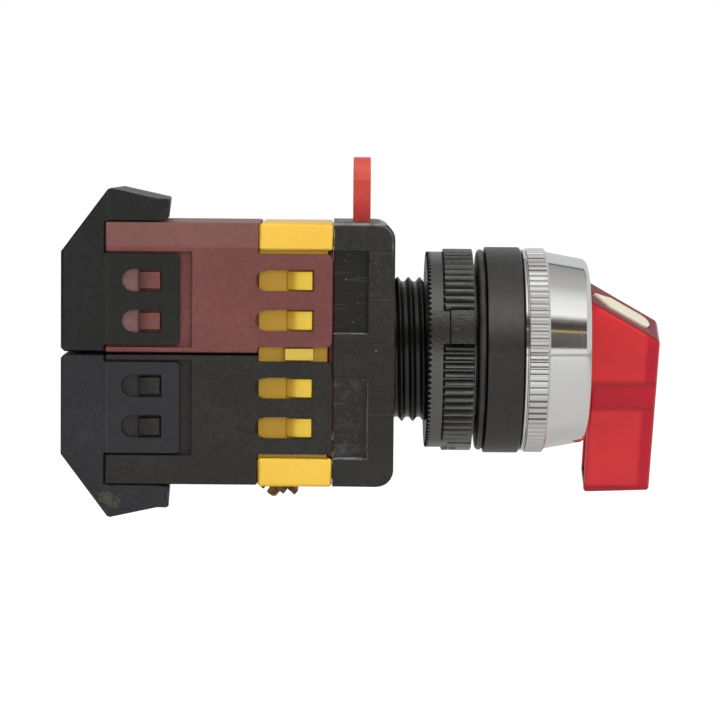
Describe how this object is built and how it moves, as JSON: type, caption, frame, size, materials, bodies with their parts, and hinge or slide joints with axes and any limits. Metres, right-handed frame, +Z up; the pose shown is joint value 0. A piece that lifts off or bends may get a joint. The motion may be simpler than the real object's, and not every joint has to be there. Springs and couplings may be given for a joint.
{
  "type": "illuminated selector switch",
  "caption": "Panel-mount illuminated selector switch with a long turning handle, a lamp block, stacked contact blocks and covered terminals.",
  "frame": {"origin": "on the switch's axis, in the plane where the gasket meets the front of the panel", "axes": "+X along the axis to the handle, +Z up through the lock lever, Y across the contact blocks"},
  "size_m": [0.0864, 0.0302, 0.0515],
  "materials": {
    "chrome": "polished chrome with fine scratches",
    "black_plastic": "black moulded polyamide, fine satin grain",
    "rubber": "smooth black rubber",
    "red_translucent": "clear red polycarbonate",
    "cream_plastic": "cream filled plastic",
    "white_plastic": "white acetal",
    "red_plastic": "red moulded plastic",
    "yellow_plastic": "yellow moulded plastic",
    "maroon_plastic": "maroon moulded plastic",
    "lamp_glass": "clear bulb with a metal cap",
    "brass": "bright stamped brass",
    "spring_steel": "drawn spring wire",
    "plated_steel": "zinc plated steel"
  },
  "bodies": {
    "switch_body": {"bezel": "chrome", "head_body": "black_plastic", "base_holder": "black_plastic", "upper_cover": "black_plastic", "lower_cover": "black_plastic", "lower_housing": "black_plastic", "lower_front_plate": "black_plastic", "panel_gasket": "rubber", "handle_seal": "rubber", "lock_retainer": "red_plastic", "lamp_block": "yellow_plastic", "upper_housing": "maroon_plastic", "upper_front_plate": "maroon_plastic", "lamp_bulb": "lamp_glass", "lamp_socket": "brass", "lamp_contact": "brass", "near_lamp_terminal": "brass", "far_lamp_terminal": "brass", "near_lamp_clamp": "brass", "far_lamp_clamp": "brass", "near_lamp_screw": "brass", "far_lamp_screw": "brass", "follower_spring": "spring_steel", "upper_contact_spring": "spring_steel", "lower_contact_spring": "spring_steel", "upper_near_terminal": "brass", "upper_far_terminal": "brass", "upper_near_clamp": "plated_steel", "upper_far_clamp": "plated_steel", "upper_near_screw": "plated_steel", "upper_far_screw": "plated_steel", "lower_near_terminal": "brass", "lower_far_terminal": "brass", "lower_near_clamp": "plated_steel", "lower_far_clamp": "plated_steel", "lower_near_screw": "plated_steel", "lower_far_screw": "plated_steel"},
    "handle": {"selector_handle": "red_translucent", "pointer_insert": "cream_plastic", "cam_sleeve": "white_plastic"},
    "follower": {"cam_follower": "white_plastic"},
    "upper_pusher": {"upper_push_rod": "white_plastic", "upper_plunger": "white_plastic", "upper_bridge": "brass"},
    "lower_pusher": {"lower_push_rod": "white_plastic", "lower_plunger": "white_plastic", "lower_bridge": "brass"},
    "lock_lever": {"lock_ring": "red_plastic"},
    "nut": {"locknut": "black_plastic"}
  },
  "joints": [
    {"name": "handle_turn", "type": "hinge", "parent": "switch_body", "child": "handle", "pos_m": [0, 0, 0], "axis": [1, 0, 0], "range_deg": [-60, 0]},
    {"name": "follower_slide", "type": "slide", "parent": "switch_body", "child": "follower", "axis": [1, 0, 0], "range_m": [-0.003, 0], "deforming": ["follower_spring"]},
    {"name": "upper_contact_slide", "type": "slide", "parent": "switch_body", "child": "upper_pusher", "axis": [1, 0, 0], "range_m": [-0.003, 0], "deforming": ["upper_contact_spring"]},
    {"name": "lower_contact_slide", "type": "slide", "parent": "switch_body", "child": "lower_pusher", "axis": [1, 0, 0], "range_m": [-0.003, 0], "deforming": ["lower_contact_spring"]},
    {"name": "lock_turn", "type": "hinge", "parent": "switch_body", "child": "lock_lever", "pos_m": [0, 0, 0], "axis": [1, 0, 0], "range_deg": [-26, 0]},
    {"name": "nut_travel", "type": "slide", "parent": "switch_body", "child": "nut", "axis": [1, 0, 0], "range_m": [-0.0044, 0]}
  ],
  "couplings": [
    {"joint": "follower_slide", "follows": "handle_turn", "m_per_rad": 0.0028647},
    {"joint": "upper_contact_slide", "follows": "handle_turn", "m_per_rad": 0.0028647},
    {"joint": "lower_contact_slide", "follows": "handle_turn", "m_per_rad": 0.0028647}
  ]
}
